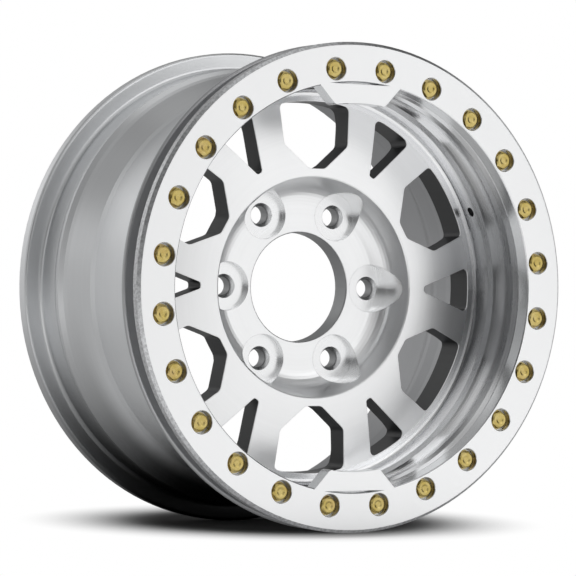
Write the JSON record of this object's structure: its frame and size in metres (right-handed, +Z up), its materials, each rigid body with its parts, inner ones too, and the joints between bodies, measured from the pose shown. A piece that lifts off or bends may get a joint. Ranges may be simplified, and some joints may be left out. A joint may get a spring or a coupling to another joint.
{
  "type": "beadlock car wheel",
  "caption": "Bare aluminium wheel with split spokes, a deep hub bowl and a clamp ring bolted round its front edge to lock the tyre's bead.",
  "frame": {"origin": "centre of the hub's mounting face, on the wheel's axis", "axes": "+Y along the wheel's axis towards the vehicle, so the wheel's face looks toward -Y; +Z up with the wheel upright; +X to the right seen from the front"},
  "size_m": [0.4117, 0.222, 0.4118],
  "materials": {
    "casting_alloy": "machined faces, black painted window walls",
    "ring_alloy": "fine machined, bright",
    "bolt_zinc": "yellow zinc",
    "washer_zinc": "yellow zinc, dull",
    "insert_steel": "plated steel"
  },
  "bodies": {
    "root": {"wheel_casting": "casting_alloy", "clamp_ring": "ring_alloy", "ring_bolt_01": "bolt_zinc", "ring_bolt_02": "bolt_zinc", "ring_bolt_03": "bolt_zinc", "ring_bolt_04": "bolt_zinc", "ring_bolt_05": "bolt_zinc", "ring_bolt_06": "bolt_zinc", "ring_bolt_07": "bolt_zinc", "ring_bolt_08": "bolt_zinc", "ring_bolt_09": "bolt_zinc", "ring_bolt_10": "bolt_zinc", "ring_bolt_11": "bolt_zinc", "ring_bolt_12": "bolt_zinc", "ring_bolt_13": "bolt_zinc", "ring_bolt_14": "bolt_zinc", "ring_bolt_15": "bolt_zinc", "ring_bolt_16": "bolt_zinc", "ring_bolt_17": "bolt_zinc", "ring_bolt_18": "bolt_zinc", "ring_bolt_19": "bolt_zinc", "ring_bolt_20": "bolt_zinc", "ring_bolt_21": "bolt_zinc", "ring_bolt_22": "bolt_zinc", "ring_bolt_23": "bolt_zinc", "ring_bolt_24": "bolt_zinc", "ring_washers": "washer_zinc", "thread_inserts": "insert_steel"}
  },
  "joints": []
}
